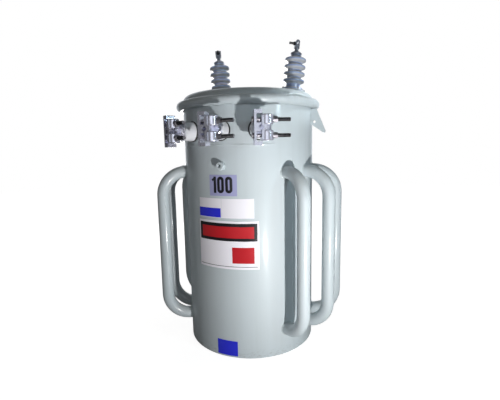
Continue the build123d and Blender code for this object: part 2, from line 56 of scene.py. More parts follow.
def sideways(azimuth):
    """Level direction along the wall, to the right of someone who faces it."""
    return Vector((cos(radians(azimuth)), sin(radians(azimuth)), 0))


def facing(direction, other):
    """Turn that lays Z along a direction, with X square to it and to another direction."""
    z = direction.normalized()
    x = other.cross(z).normalized()
    y = z.cross(x)
    return Matrix((x, y, z)).transposed().to_4x4()


# ---------------------------------------------------------------- camera

CAMERA_AZIMUTH = 22.0
CAMERA_DISTANCE = 1.592
CAMERA_HEIGHT = 0.833
CAMERA_PITCH = 8.13
CAMERA_YAW = 0.05
CAMERA_ROLL = -1.08
LENS_MILLIMETRES = 25.3
SENSOR_MILLIMETRES = 36.0


def make_camera():
    """Camera in front of the tank and to the right, tipped down a little."""
    data = bpy.data.cameras.new("camera")
    data.lens = LENS_MILLIMETRES
    data.sensor_width = SENSOR_MILLIMETRES
    camera = bpy.data.objects.new("camera", data)
    bpy.context.scene.collection.objects.link(camera)
    pitch, yaw, roll = (radians(angle) for angle in (CAMERA_PITCH, CAMERA_YAW, CAMERA_ROLL))
    level = sideways(CAMERA_AZIMUTH) * sin(yaw) - outward(CAMERA_AZIMUTH) * cos(yaw)
    forward = level * cos(pitch) - UP * sin(pitch)
    right = forward.cross(UP).normalized()
    above = right.cross(forward)
    rolled_right = right * cos(roll) + above * sin(roll)
    rolled_above = above * cos(roll) - right * sin(roll)
    turn = Matrix((rolled_right, rolled_above, -forward)).transposed().to_4x4()
    place = outward(CAMERA_AZIMUTH) * CAMERA_DISTANCE + UP * CAMERA_HEIGHT
    camera.matrix_world = Matrix.Translation(place) @ turn
    bpy.context.scene.camera = camera


make_camera()


# ---------------------------------------------------------------- shader tools

def shade(red, green, blue):
    """A colour given as it looks on a screen, from 0 to 255, for a shader."""
    def straight(level):
        level /= 255
        return level / 12.92 if level <= 0.04045 else ((level + 0.055) / 1.055) ** 2.4
    return (straight(red), straight(green), straight(blue), 1.0)


class Value:
    """A shader socket. An expression on it adds the Math nodes that work it out."""

    def __init__(self, shader, socket):
        self.shader = shader
        self.socket = socket

    def math(self, operation, first, second):
        return self.shader.node("Math", {"operation": operation}, {0: first, 1: second})

    def __add__(self, other):
        return self.math("ADD", self, other)

    def __radd__(self, other):
        return self.math("ADD", other, self)

    def __sub__(self, other):
        return self.math("SUBTRACT", self, other)

    def __rsub__(self, other):
        return self.math("SUBTRACT", other, self)

    def __mul__(self, other):
        return self.math("MULTIPLY", self, other)

    def __rmul__(self, other):
        return self.math("MULTIPLY", other, self)


class Shader:
    """The node tree of a material or world, built up node by node."""

    def __init__(self, owner):
        owner.use_nodes = True
        self.tree = owner.node_tree
        self.tree.nodes.clear()

    def feed(self, socket, value):
        """Link a value to a socket, or set the socket to a number or colour."""
        if isinstance(value, Value):
            self.tree.links.new(value.socket, socket)
        else:
            socket.default_value = value

    def node(self, kind, settings=None, inputs=None, output=0):
        """Add a node of a kind, set it up, feed its inputs and return one output."""
        node = self.tree.nodes.new("ShaderNode" + kind)
        for name, value in (settings or {}).items():
            if name == "stops":
                for element, (position, level) in zip(node.color_ramp.elements, value):
                    element.position = position
                    element.color = (level, level, level, 1.0)
            else:
                setattr(node, name, value)
        for name, value in (inputs or {}).items():
            self.feed(node.inputs[name], value)
        return Value(self, node.outputs[output])

    def mix_shader(self, factor, first, second):
        return self.node("MixShader", inputs={0: factor, 1: first, 2: second})

    def show(self, kind, surface):
        """Send the finished shader to the output of a material or a world."""
        output = self.tree.nodes.new("ShaderNodeOutput" + kind)
        self.feed(output.inputs["Surface"], surface)


class Finish(Shader):
    """A material with one Principled shader and layers of relief."""

    def __init__(self, name):
        self.material = bpy.data.materials.new(name)
        super().__init__(self.material)
        self.relief = None

    def height(self):
        """Height above the ground."""
        here = self.node("TexCoord", output="Object")
        return self.node("SeparateXYZ", inputs={0: here}, output="Z")

    def rise(self):
        """Upright part of the surface's normal, from -1 on an underside to 1 on a top."""
        normal = self.node("NewGeometry", output="Normal")
        return self.node("SeparateXYZ", inputs={0: normal}, output="Z")

    def upward(self):
        """How far a surface faces up, from 0 to 1."""
        return self.node("Clamp", inputs={"Value": self.rise()})

    def slope(self):
        """How far a surface leans from upright, up or down, from 0 to 1."""
        return self.node("Math", {"operation": "ABSOLUTE"}, {0: self.rise()})

    def noise(self, scale, detail=3.0, roughness=0.5, stretch=(1, 1, 1), distortion=0.0):
        """Cloudy pattern on the object, from 0 to 1, with a scale per metre."""
        here = self.node("TexCoord", output="Object")
        place = self.node("Mapping", inputs={"Vector": here, "Scale": stretch})
        return self.node("TexNoise", inputs={
            "Vector": place, "Scale": scale, "Detail": detail, "Roughness": roughness,
            "Distortion": distortion,
        })

    def ramp(self, value, first_stop, last_stop):
        """Straight run between two stops, each a value and what it becomes."""
        return self.node("ValToRGB", {"stops": (first_stop, last_stop)}, {0: value})

    def mix(self, factor, first, second):
        """Blend two colours."""
        return self.node("Mix", {"data_type": "RGBA"}, {0: factor, 6: first, 7: second}, output=2)

    def bump(self, pattern, depth, strength):
        """Add a layer of relief over the layers before it."""
        inputs = {"Height": pattern, "Distance": depth, "Strength": strength}
        if self.relief is not None:
            inputs["Normal"] = self.relief
        self.relief = self.node("Bump", inputs=inputs)

    def finish(self, **sockets):
        """Make the surface from its sockets' values, and return the material."""
        inputs = {name.replace("_", " "): value for name, value in sockets.items()}
        if self.relief is not None:
            inputs["Normal"] = self.relief
        self.show("Material", self.node("BsdfPrincipled", inputs=inputs))
        return self.material


# ---------------------------------------------------------------- finishes

def tank_paint():
    """Glossy sprayed enamel over steel: orange peel, faint clouding, dust on top, scuffs low down."""
    enamel = Finish("tank_paint")
    clouds = enamel.noise(3.2, detail=4.0, roughness=0.55)
    streaks = enamel.noise(26.0, roughness=0.6, stretch=(1, 1, 0.06))
    colour = enamel.mix(clouds, shade(191, 202, 207), shade(201, 211, 216))
    colour = enamel.mix(enamel.ramp(streaks, (0.45, 0.0), (0.85, 0.18)), colour, shade(170, 178, 178))
    settled = enamel.ramp(enamel.noise(38.0, detail=5.0, roughness=0.65), (0.35, 0.0), (0.75, 0.45))
    dust = enamel.upward() * settled
    colour = enamel.mix(dust, colour, shade(168, 166, 154))
    low = enamel.ramp(enamel.height() * 12.0, (0.0, 1.0), (0.5, 0.0))
    rubs = enamel.noise(60.0, detail=6.0, roughness=0.7, stretch=(1, 1, 2.5))
    scuffs = low * enamel.ramp(rubs, (0.52, 0.0), (0.66, 0.7))
    colour = enamel.mix(scuffs, colour, shade(128, 130, 124))
    sag = enamel.noise(9.0, detail=2.0, roughness=0.4, stretch=(1, 1, 0.35))
    enamel.bump(sag, depth=0.0012, strength=0.35)
    peel = enamel.noise(210.0, detail=2.0)
    enamel.bump(peel, depth=0.00012, strength=0.35)
    smudge = enamel.noise(14.0, detail=5.0, roughness=0.6)
    return enamel.finish(
        Base_Color=colour,
        Roughness=0.48 + smudge * 0.1 + dust * 0.2 + scuffs * 0.4,
        Coat_Weight=0.42 - scuffs * 0.6 - dust * 0.25,
        Coat_Roughness=0.12,
        IOR=1.5,
    )


def weld_paint():
    """The same enamel over a rippled weld bead, with a little more dirt held in it."""
    enamel = Finish("weld_paint")
    grime = enamel.noise(70.0, detail=4.0, roughness=0.6)
    colour = enamel.mix(grime, shade(178, 188, 190), shade(194, 204, 208))
    ripple = enamel.noise(430.0, detail=2.0, distortion=0.6)
    enamel.bump(ripple, depth=0.0005, strength=0.6)
    return enamel.finish(
        Base_Color=colour,
        Roughness=0.26 + grime * 0.14,
        Coat_Weight=0.5 - grime * 0.2,
        Coat_Roughness=0.09,
    )


def rubber():
    """Black moulded rubber with a grey bloom."""
    black = Finish("gasket_rubber")
    bloom = black.noise(55.0, detail=5.0, roughness=0.65)
    colour = black.mix(bloom, shade(30, 30, 32), shade(58, 58, 60))
    grain = black.noise(900.0, detail=2.0, roughness=0.6)
    black.bump(grain, depth=0.00008, strength=0.5)
    return black.finish(Base_Color=colour, Roughness=0.55 + bloom * 0.25, Specular_IOR_Level=0.35)


def porcelain(name, dark, light, upright_painted_reflection, speckle, gloss):
    """Glazed porcelain: pooled glaze tints, a painted bluish reflection on the upright faces of the core,
    tiny pits and a clear gloss.
    """
    glaze = Finish(name)
    pool = glaze.noise(18.0)
    colour = glaze.mix(pool, dark, light)
    # Painted reflection: the upright faces of the core between the sheds take a bluish colour that stands
    # in for reflected blue light.
    colour = glaze.mix(glaze.ramp(glaze.slope(), (0.15, 1.0), (0.5, 0.0)), colour, upright_painted_reflection)
    specks = glaze.ramp(glaze.noise(340.0, detail=2.0), (0.66, 0.0), (0.74, 1.0))
    colour = glaze.mix(specks * speckle, colour, shade(70, 66, 62))
    settled = glaze.ramp(glaze.noise(50.0, detail=5.0, roughness=0.65), (0.4, 0.0), (0.8, 0.35))
    dirt = glaze.upward() * settled
    colour = glaze.mix(dirt, colour, shade(150, 146, 136))
    unevenness = glaze.noise(75.0, detail=2.0, roughness=0.4)
    glaze.bump(unevenness, depth=0.0004, strength=0.25)
    glaze.bump(specks, depth=0.00005, strength=-0.4)
    return glaze.finish(
        Base_Color=colour,
        Roughness=gloss + pool * 0.06 + dirt * 0.4,
        Coat_Weight=0.9 - dirt * 0.8,
        Coat_Roughness=0.03,
        IOR=1.55,
    )


def cast_metal(name, dark, light, roughness, grain_scale, grain_depth):
    """Cast metal with a sandy skin, rubbed brighter in patches."""
    metal = Finish(name)
    rubbed = metal.noise(45.0, detail=5.0, roughness=0.6)
    colour = metal.mix(rubbed, dark, light)
    stain = metal.ramp(metal.noise(24.0, detail=4.0, roughness=0.6), (0.5, 0.0), (0.8, 0.5))
    colour = metal.mix(stain, colour, shade(126, 122, 124))
    grain = metal.noise(grain_scale, detail=4.0, roughness=0.65)
    metal.bump(grain, depth=grain_depth, strength=0.55)
    return metal.finish(
        Base_Color=colour,
        Roughness=roughness + grain * 0.14 + stain * 0.16,
        Metallic=0.78 - stain * 0.3,
    )


def threaded_steel(name, dark, light, roughness):
    """Plated or blackened fastener steel with fine turning marks and rubbed patches."""
    steel = Finish(name)
    wear = steel.noise(90.0, detail=5.0, roughness=0.65)
    colour = steel.mix(steel.ramp(wear, (0.35, 0.0), (0.8, 1.0)), dark, light)
    turning = steel.noise(160.0, roughness=0.6, stretch=(6, 1, 1))
    steel.bump(turning, depth=0.00006, strength=0.5)
    return steel.finish(
        Base_Color=colour,
        Roughness=roughness + wear * 0.2,
        Metallic=0.9 - wear * 0.15,
    )


def printed_film(name, ink, faded):
    """Vinyl film: faint fading, a slight texture and soft scuffs."""
    film = Finish(name)
    fade = film.noise(16.0, detail=4.0, roughness=0.55)
    rubs = film.noise(130.0, detail=5.0, roughness=0.7, stretch=(1, 1, 3))
    scuff = film.ramp(rubs, (0.58, 0.0), (0.78, 0.5))
    weave = film.noise(500.0, detail=2.0)
    film.bump(weave, depth=0.00004, strength=0.4)
    return film.finish(
        Base_Color=film.mix(fade, ink, faded),
        Roughness=0.3 + scuff * 0.25,
        Coat_Weight=0.5 - scuff * 0.4,
        Coat_Roughness=0.12,
    )


PAINT = tank_paint()
WELD = weld_paint()
RUBBER = rubber()
# The last colour of each porcelain is a painted bluish reflection on the upright core between the sheds;
# for the white porcelain it equals the dark tone, so nothing shows.
GREY_PORCELAIN = porcelain(
    "grey_porcelain", dark=shade(178, 182, 190), light=shade(204, 207, 213),
    upright_painted_reflection=shade(158, 176, 214), speckle=0.35, gloss=0.2)
WHITE_PORCELAIN = porcelain(
    "white_porcelain", dark=shade(226, 228, 234), light=shade(239, 240, 244),
    upright_painted_reflection=shade(226, 228, 234), speckle=0.2, gloss=0.1)
CAST_ALUMINIUM = cast_metal(
    "cast_aluminium", dark=shade(214, 214, 230), light=shade(238, 238, 250),
    roughness=0.15, grain_scale=620.0, grain_depth=0.00022)
RING_ALUMINIUM = cast_metal(
    "ring_aluminium", dark=shade(150, 154, 160), light=shade(182, 185, 190),
    roughness=0.34, grain_scale=520.0, grain_depth=0.0003)
ZINC_STEEL = threaded_steel(
    "plated_steel", dark=shade(136, 134, 140), light=shade(180, 178, 184), roughness=0.3)
BLACK_STEEL = threaded_steel(
    "black_steel", dark=shade(38, 37, 40), light=shade(96, 94, 96), roughness=0.34)
TINNED_BRASS = threaded_steel(
    "tinned_brass", dark=shade(130, 134, 146), light=shade(178, 182, 190), roughness=0.3)
WHITE_FILM = printed_film("white_film", shade(245, 243, 253), shade(250, 249, 255))
LILAC_FILM = printed_film("lilac_film", shade(160, 162, 206), shade(170, 172, 212))
BLUE_FILM = printed_film("blue_film", shade(38, 45, 214), shade(46, 53, 226))
BLACK_FILM = printed_film("black_film", shade(14, 13, 20), shade(24, 23, 30))
RED_FILM = printed_film("red_film", shade(186, 22, 34), shade(198, 32, 42))

FINISHES = {
    "tank_paint": PAINT, "gasket_rubber": RUBBER, "grey_porcelain": GREY_PORCELAIN,
    "white_porcelain": WHITE_PORCELAIN, "cast_aluminium": CAST_ALUMINIUM,
    "ring_aluminium": RING_ALUMINIUM, "plated_steel": ZINC_STEEL, "tinned_brass": TINNED_BRASS,
}


def clad(piece, material):
    """Give a piece one material."""
    piece.data.materials.clear()
    piece.data.materials.append(material)


for part in frame["record"]["subparts"]:
    clad(nodes[part["node"]], FINISHES[part["material_slot"]])
for hand in ("left", "right"):
    clad(nodes[f"hv_screw_{hand}"], BLACK_STEEL)


# ---------------------------------------------------------------- modelling tools

def alone(piece):
    """Select one piece only, and make it the active one."""
    bpy.ops.object.select_all(action="DESELECT")
    piece.select_set(True)
    bpy.context.view_layer.objects.active = piece


def add(kind, name, **sizes):
    """Add a primitive, with nothing else selected."""
    bpy.ops.object.select_all(action="DESELECT")
    getattr(bpy.ops.mesh, f"primitive_{kind}_add")(**sizes)
    piece = bpy.context.object
    piece.name = name
    return piece


def choose(piece, kind, test):
    """Select the faces, edges or vertices that pass a test, and go into edit mode."""
    alone(piece)
    bpy.ops.object.mode_set(mode="EDIT")
    bpy.ops.mesh.select_mode(type=kind)
    bpy.ops.mesh.select_all(action="DESELECT")
    bpy.ops.object.mode_set(mode="OBJECT")
    mesh = piece.data
    if kind == "FACE":
        for face in mesh.polygons:
            face.select = test(face.center, face.normal)
    elif kind == "EDGE":
        for edge in mesh.edges:
            first, second = (mesh.vertices[index].co for index in edge.vertices)
            edge.select = test(first, second)
    else:
        for vertex in mesh.vertices:
            vertex.select = test(vertex.co)
    bpy.ops.object.mode_set(mode="EDIT")


def choose_all(piece):
    """Select all of a piece, and go into edit mode."""
    alone(piece)
    bpy.ops.object.mode_set(mode="EDIT")
    bpy.ops.mesh.select_all(action="SELECT")


def done():
    """Leave edit mode."""
    bpy.ops.object.mode_set(mode="OBJECT")


def fix_place(piece):
    """Put a piece's place, turn and scale into its mesh."""
    alone(piece)
    bpy.ops.object.transform_apply(location=True, rotation=True, scale=True)


def modify(piece, kind, **settings):
    """Add a modifier, set it up and apply it."""
    alone(piece)
    modifier = piece.modifiers.new(kind.lower(), kind)
    for name, value in settings.items():
        setattr(modifier, name, value)
    bpy.ops.object.modifier_apply(modifier=modifier.name)


def round_top(piece, width):
    """Bevel the edges of a piece's flat top."""
    choose(piece, "FACE", lambda centre, normal: normal.z > 0.9)
    bpy.ops.mesh.bevel(offset=width, segments=2, affect="EDGES")
    done()


def join(pieces, name):
    """Make several pieces one."""
    bpy.ops.object.select_all(action="DESELECT")
    for piece in pieces:
        piece.select_set(True)
    bpy.context.view_layer.objects.active = pieces[0]
    bpy.ops.object.join()
    pieces[0].name = name
    return pieces[0]


def copies(pattern, places, name):
    """Copy a pattern to several places, each copy with its own mesh, and join the copies."""
    twins = []
    for place in places:
        twin = pattern.copy()
        twin.data = pattern.data.copy()
        bpy.context.scene.collection.objects.link(twin)
        twin.matrix_world = place
        twins.append(twin)
    return join(twins, name)


def keep_between(piece, azimuths):
    """Cut a ring or tube round the tank's axis down to the stretch between two azimuths."""
    for azimuth, side in zip(azimuths, ("clear_inner", "clear_outer")):
        choose_all(piece)
        bpy.ops.mesh.bisect(plane_co=(0, 0, 0), plane_no=sideways(azimuth), **{side: True})
        done()


def curved_sheet(name, radius, azimuths, heights, segments):
    """Upright sheet round the tank's axis, between two azimuths and two heights."""
    foot, top = heights
    sheet = add("cylinder", name, vertices=segments, radius=radius, depth=top - foot,
                end_fill_type="NOTHING", location=(0, 0, (foot + top) / 2))
    keep_between(sheet, azimuths)
    return sheet


def press_on(piece, surface, lift=0.0):
    """Move a piece back along its own Z, on to a surface or to a small lift above it."""
    modify(
        piece, "SHRINKWRAP", target=surface, wrap_method="PROJECT", use_project_z=True,
        use_positive_direction=False, use_negative_direction=True, offset=lift,
    )


def settle(piece, material, crease):
    """Fix a piece's place, turn its faces out, smooth it up to a crease angle and let it ride."""
    fix_place(piece)
    choose_all(piece)
    bpy.ops.mesh.remove_doubles(threshold=0.000001)
    bpy.ops.mesh.normals_make_consistent(inside=False)
    done()
    bpy.ops.object.shade_smooth_by_angle(angle=radians(crease))
    clad(piece, material)
    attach(piece, "root")


# ---------------------------------------------------------------- welds

TUBE_RADIUS = 0.0255
TUBE_HEIGHTS = (0.108, 0.745)
TUBE_AZIMUTHS = (53, 77, 101)
LUG_ROOT_SHARE = 0.43
SEAM_AZIMUTH = 152
BEAD = 0.0026
BRACKET_BEAD = 0.0034
BOSS_BEAD = 0.0022
SEAM_BEAD = 0.0028
BOTTOM_BEAD = 0.0032
SUNK = 0.0012
RIPPLE = 0.006
ROUND_RIPPLE = 0.45
LINE_RIPPLE = 0.5
BOTTOM_RIPPLE = 0.0014
WELD_CREASE = 60

# Share of a bead's radius by which its middle stands off the edge that it joins
TUBE_STAND_OFF = 0.5
LUG_STAND_OFF = 0.4
HANGER_STAND_OFF = 0.3
BOSS_STAND_OFF = 0.3

ripples = bpy.data.textures.new("weld_ripples", "CLOUDS")
ripples.noise_scale = RIPPLE
shell = nodes["tank_shell"]


def ripple(piece, depth):
    modify(piece, "DISPLACE", texture=ripples, texture_coords="GLOBAL", strength=depth, mid_level=0.5)


def weld_round(height, azimuth, radius, bead):
    """Weld bead round a pipe or boss that stands out from the wall, laid on the wall."""
    clear_of_wall = 0.03
    direction = outward(azimuth)
    start = direction * (WALL + clear_of_wall) + UP * height
    ring = add("circle", "ring", vertices=64, radius=radius)
    ring.matrix_world = Matrix.Translation(start) @ facing(direction, UP)
    alone(ring)
    bpy.ops.object.transform_apply(location=False, rotation=False, scale=True)
    press_on(ring, shell)
    bpy.ops.object.convert(target="CURVE")
    curve = bpy.context.object
    curve.data.bevel_depth = bead
    curve.data.bevel_resolution = 2
    bpy.ops.object.convert(target="MESH")
    ring = bpy.context.object
    ripple(ring, bead * ROUND_RIPPLE)
    return ring


def weld_line(foot, height, bead):
    """Upright weld bead with rounded ends, from its foot up."""
    line = add("cylinder", "line", vertices=12, radius=bead, depth=height,
               location=foot + UP * height / 2)
    choose(line, "FACE", lambda centre, normal: abs(normal.z) > 0.9)
    bpy.ops.mesh.bevel(offset=bead * 0.7, segments=3, affect="EDGES")
    done()
    choose(line, "EDGE", lambda first, second: abs((first - second).z) > height / 2)
    bpy.ops.mesh.subdivide(number_cuts=int(height / RIPPLE))
    done()
    ripple(line, bead * LINE_RIPPLE)
    return line


def settle_weld(piece):
    settle(piece, WELD, WELD_CREASE)


def lug_weld(hand, side):
    """Weld on both faces of a lifting lug, from its root to its top."""
    low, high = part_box(f"lifting_lug_{hand}")
    reach = (high.y - low.y) / 2 + BEAD * LUG_STAND_OFF
    end_gap = 0.002
    foot = low.z + (high.z - low.z) * LUG_ROOT_SHARE + end_gap
    lines = [
        weld_line(Vector((side * WALL, face * reach, foot)), high.z - end_gap - foot, BEAD)
        for face in (-1, 1)
    ]
    settle_weld(join(lines, f"lug_welds_{hand}"))


def hanger_weld(level):
    """Weld down both cheeks of a hanger bracket, where they meet the wall."""
    low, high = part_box(f"hanger_bracket_{level}")
    wall_y = (WALL ** 2 - high.x ** 2) ** 0.5
    reach = high.x + BEAD * HANGER_STAND_OFF
    end_gap = 0.004
    height = high.z - low.z - 2 * end_gap
    lines = [
        weld_line(Vector((cheek * reach, wall_y, low.z + end_gap)), height, BRACKET_BEAD)
        for cheek in (-1, 1)
    ]
    settle_weld(join(lines, f"hanger_welds_{level}"))


def boss_weld():
    """Weld round the foot of the ground boss."""
    low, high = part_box("ground_boss")
    radius = (high.x - low.x) / 2 + BEAD * BOSS_STAND_OFF
    ring = weld_round((low.z + high.z) / 2, 0, radius, BOSS_BEAD)
    ring.name = "ground_boss_weld"
    settle_weld(ring)


def seam_weld():
    """The one upright seam of the rolled wall, ground nearly flush, at the back."""
    end_gap = 0.004
    foot = outward(SEAM_AZIMUTH) * (WALL - SUNK) + UP * end_gap
    seam = weld_line(foot, RIM_HEIGHT - 2 * end_gap, SEAM_BEAD)
    seam.name = "wall_seam_weld"
    settle_weld(seam)


def bottom_weld():
    """Weld between the bottom plate and the foot of the wall, seen from below."""
    low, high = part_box("tank_bottom")
    ring = add("torus", "bottom_weld", major_radius=high.x - SUNK, minor_radius=BOTTOM_BEAD,
               major_segments=160, minor_segments=10, location=(0, 0, low.z - 0.0005))
    ripple(ring, BOTTOM_RIPPLE)
    settle_weld(ring)


for side, hand in ((-1, "left"), (1, "right")):
    for number, azimuth in enumerate(TUBE_AZIMUTHS, 1):
        rings = [
            weld_round(height, side * azimuth, TUBE_RADIUS + BEAD * TUBE_STAND_OFF, BEAD)
            for height in TUBE_HEIGHTS
        ]
        settle_weld(join(rings, f"tube_welds_{hand}_{number}"))
    lug_weld(hand, side)
for level in ("upper", "lower"):
    hanger_weld(level)
boss_weld()
seam_weld()
bottom_weld()


# ---------------------------------------------------------------- swage

SWAGE_HEIGHT = 0.8525
SWAGE_AZIMUTHS = (-44, 43)
SWAGE_ROUND = 0.0090
SWAGE_RISE = 0.0009
SWAGE_ROOT = 0.0008


def front_swage():
    """Low swage across the front of the wall, under the low voltage bushings."""
    swage = add("torus", "front_swage", major_radius=WALL + SWAGE_RISE - SWAGE_ROUND,
                minor_radius=SWAGE_ROUND, major_segments=360, minor_segments=60,
                location=(0, 0, SWAGE_HEIGHT))
    keep_between(swage, SWAGE_AZIMUTHS)
    choose(swage, "VERT", lambda point: point.xy.length < WALL - SWAGE_ROOT)
    bpy.ops.mesh.delete(type="VERT")
    done()
    settle(swage, PAINT, WELD_CREASE)


front_swage()


# ---------------------------------------------------------------- plates and films on the wall

SIGN_LEFT, SIGN_RIGHT = -24.5, 28.9
SIGN_FOOT, SIGN_TOP = 0.372, 0.563
SIGN_EDGE = 1.3
SIGN_MARGIN = 0.009
SIGN_HEADER_FOOT = 0.484
SIGN_BAND_HEIGHTS = (0.496, 0.541)
SIGN_BLOCK_LEFT = 7.2
SIGN_BLOCK_HEIGHTS = (0.396, 0.460)
SIGN_RULE = 0.002
LABEL_HEIGHTS = (0.574, 0.650)
STUCK_ON = 0.0003
SHEET_METAL = 0.0009
PLATE_FACE = STUCK_ON + SHEET_METAL
INK = 0.00015
FILM_CREASE = 30


def wall_plate(name, azimuths, heights, material, lift, thickness):
    """Thin sheet wrapped on the wall between two azimuths and two heights."""
    sheet = curved_sheet(name, WALL + lift, azimuths, heights, segments=720)
    modify(sheet, "SOLIDIFY", thickness=thickness, offset=1.0)
    settle(sheet, material, FILM_CREASE)


def sign():
    """Enamelled plate: a dark header with a red band, a red block and a rule, and no words."""
    inner = (SIGN_LEFT + SIGN_EDGE, SIGN_RIGHT - SIGN_EDGE)
    band = (SIGN_LEFT + 3 * SIGN_EDGE, SIGN_RIGHT - 3 * SIGN_EDGE)
    header = (SIGN_HEADER_FOOT, SIGN_TOP - SIGN_MARGIN)
    rule = (SIGN_FOOT + SIGN_MARGIN, SIGN_FOOT + SIGN_MARGIN + SIGN_RULE)
    block = (SIGN_BLOCK_LEFT, band[1])
    on_band = PLATE_FACE + INK
    whole = (SIGN_LEFT, SIGN_RIGHT)
    wall_plate("sign_plate", whole, (SIGN_FOOT, SIGN_TOP), WHITE_FILM, STUCK_ON, SHEET_METAL)
    wall_plate("sign_header", inner, header, BLACK_FILM, PLATE_FACE, INK)
    wall_plate("sign_band", band, SIGN_BAND_HEIGHTS, RED_FILM, on_band, INK)
    wall_plate("sign_foot_rule", inner, rule, BLACK_FILM, PLATE_FACE, INK)
    wall_plate("sign_block", block, SIGN_BLOCK_HEIGHTS, RED_FILM, PLATE_FACE, INK)


sign()
wall_plate("maker_film", azimuths=(-23.6, -1.1), heights=LABEL_HEIGHTS, material=WHITE_FILM,
           lift=STUCK_ON, thickness=0.0002)
wall_plate("label_blue_block", azimuths=(-23.6, -1.7), heights=(0.576, 0.612), material=BLUE_FILM,
           lift=0.0005, thickness=0.0001)
wall_plate("rating_plate", azimuths=(-0.9, 25.4), heights=LABEL_HEIGHTS, material=WHITE_FILM,
           lift=STUCK_ON, thickness=0.0006)
wall_plate("number_plate", azimuths=(-11.2, 12.4), heights=(0.660, 0.741), material=LILAC_FILM,
           lift=STUCK_ON, thickness=0.0003)
wall_plate("foot_film", azimuths=(-8.3, 9.9), heights=(0.006, 0.070), material=BLUE_FILM,
           lift=STUCK_ON, thickness=0.0002)


# ---------------------------------------------------------------- capacity number

NUMBER_AZIMUTH = 0.6
NUMBER_HEIGHT = 0.7025
FIGURE_HEIGHT = 0.063
FIGURE_PITCH = 0.034
STROKE = 0.0110
NOUGHT_WIDTH = 0.0285
NOUGHT_ROUND = 0.0135
FIRST_NOUGHT = -0.0085
ONE_MIDDLE = -0.033
FLAG_LENGTH = 0.014
FLAG_WIDTH = 0.0085
FLAG_REACH = 0.007
FLAG_SLANT = 40
FIGURE_LIFT = 0.0006
FIGURE_THICKNESS = 0.00025
STRIP = 0.004


def flat_shape(width, height):
    """Flat upright bar about its own middle."""
    shape = add("plane", "shape", size=1.0)
    shape.scale = (width, height, 1)
    alone(shape)
    bpy.ops.object.transform_apply(location=False, rotation=False, scale=True)
    return shape


def figure_one():
    """Upright bar with a slanted flag at its top."""
    bar = flat_shape(STROKE, FIGURE_HEIGHT)
    bar.location.x = ONE_MIDDLE
    flag = flat_shape(FLAG_LENGTH, FLAG_WIDTH)
    flag.location = (ONE_MIDDLE - FLAG_REACH, FIGURE_HEIGHT / 3, 0)
    flag.rotation_euler.z = radians(FLAG_SLANT)
    return [bar, flag]


def figure_nought():
    """Rounded loop with an open middle."""
    loop = flat_shape(NOUGHT_WIDTH, FIGURE_HEIGHT)
    choose_all(loop)
    bpy.ops.mesh.bevel(offset=NOUGHT_ROUND, segments=8, affect="VERTICES")
    done()
    choose_all(loop)
    bpy.ops.mesh.inset(thickness=STROKE)
    bpy.ops.mesh.delete(type="FACE")
    done()
    return loop


def capacity_number():
    """A figure one and two noughts, cut into strips so that they bend, and laid on the number plate."""
    nought = figure_nought()
    places = [Matrix.Translation((FIRST_NOUGHT + step * FIGURE_PITCH, 0, 0)) for step in (0, 1)]
    piece = join(figure_one() + [copies(nought, places, "noughts")], "capacity_number")
    bpy.data.objects.remove(nought)
    fix_place(piece)
    half = max(abs(vertex.co.x) for vertex in piece.data.vertices)
    for step in range(int(-half / STRIP), int(half / STRIP) + 1):
        choose_all(piece)
        bpy.ops.mesh.bisect(plane_co=(step * STRIP, 0, 0), plane_no=(1, 0, 0))
        done()
    clear_of_wall = 0.05
    direction = outward(NUMBER_AZIMUTH)
    start = direction * (WALL + clear_of_wall) + UP * NUMBER_HEIGHT
    piece.matrix_world = Matrix.Translation(start) @ facing(direction, UP)
    press_on(piece, shell, FIGURE_LIFT)
    modify(piece, "SOLIDIFY", thickness=FIGURE_THICKNESS, offset=1.0)
    settle(piece, BLACK_FILM, FILM_CREASE)


capacity_number()


# ---------------------------------------------------------------- threads and small fasteners

STUD_RADIUS = 0.00635
STUD_PITCH = 0.027
STUD_THREAD = 0.00195
NUT_END = 0.0495
RING_NUT_WIDTH = 0.009
RING_NUT_HEIGHT = 0.005
RING_STUD_RADIUS = 0.003
RING_STUD_HEIGHT = 0.009
RING_EDGE = 0.0062
RING_TOP = 0.0025
BAND_SPLIT_AZIMUTH = -140
BAND_BOLT_RADIUS = 0.005
BAND_BOLT_THREAD = 0.0015
BAND_THREAD_START = 0.0215
BAND_THREAD_LENGTH = 0.0105
STEEL_CREASE = 25


def thread(name, radius, pitch, length):
    """Blackened end of a screw along Z: a sleeve with a chamfered tip, and the ridge of its thread."""
    skin = 0.0002
    chamfer = 0.0007
    tip = 0.0015
    ridge_radius = pitch * 0.42
    steps = 18
    sleeve = add("cylinder", "sleeve", vertices=24, radius=radius + skin, depth=length + tip,
                 location=(0, 0, length / 2 + chamfer))
    round_top(sleeve, chamfer)
    ridge = add("circle", "ridge", vertices=3, radius=ridge_radius, location=(radius, 0, pitch / 2),
                rotation=(pi / 2, 0, 0), fill_type="NOTHING")
    fix_place(ridge)
    modify(ridge, "SCREW", axis="Z", angle=2 * pi, screw_offset=pitch, iterations=int(length / pitch),
           steps=steps, render_steps=steps, use_merge_vertices=False)
    choose_all(ridge)
    bpy.ops.mesh.fill_holes(sides=3)
    done()
    fix_place(sleeve)
    return join([sleeve, ridge], name)


def stud_and_nut():
    """Hexagon nut on the end of a stud, standing on its own foot."""
    nut = add("cylinder", "nut", vertices=6, radius=RING_NUT_WIDTH / 2 / cos(pi / 6),
              depth=RING_NUT_HEIGHT, location=(0, 0, RING_NUT_HEIGHT / 2))
    round_top(nut, RING_NUT_HEIGHT * 0.12)
    stud = add("cylinder", "stud", vertices=20, radius=RING_STUD_RADIUS, depth=RING_STUD_HEIGHT,
               location=(0, 0, RING_STUD_HEIGHT / 2))
    round_top(stud, RING_STUD_RADIUS * 0.2)
    for piece in (nut, stud):
        fix_place(piece)
    return join([nut, stud], "fastener")


